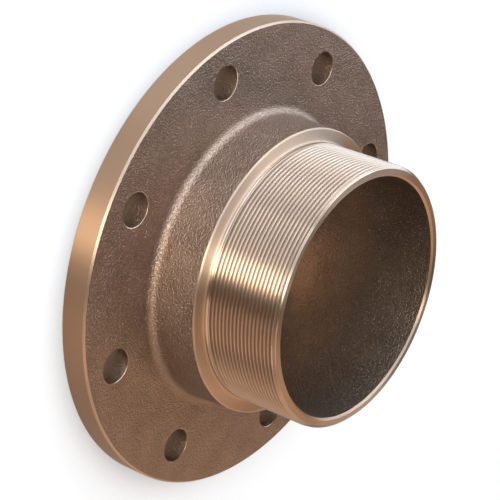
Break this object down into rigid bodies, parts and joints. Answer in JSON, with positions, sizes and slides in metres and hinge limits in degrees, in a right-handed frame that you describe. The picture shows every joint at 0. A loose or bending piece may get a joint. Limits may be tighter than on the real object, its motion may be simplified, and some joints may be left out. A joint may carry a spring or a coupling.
{
  "type": "pipe flange",
  "caption": "Round cast bronze pipe flange with a ring of bolt holes, a short hub and a male threaded pipe end, for bolting a screwed pipe to a flanged line.",
  "frame": {"origin": "centre of the flat back face, on the pipe axis", "axes": "+Z along the pipe axis, from the back face to the threaded mouth; the bolt holes stand astride X and Y"},
  "size_m": [0.25, 0.25, 0.0855],
  "materials": {
    "cast_bronze": "sand-cast grain on the disc's front, the hub and the bore; bright turned metal on the rim, shoulder, thread, mouth and back"
  },
  "bodies": {
    "root": {"pipe_flange": "cast_bronze"}
  },
  "joints": []
}
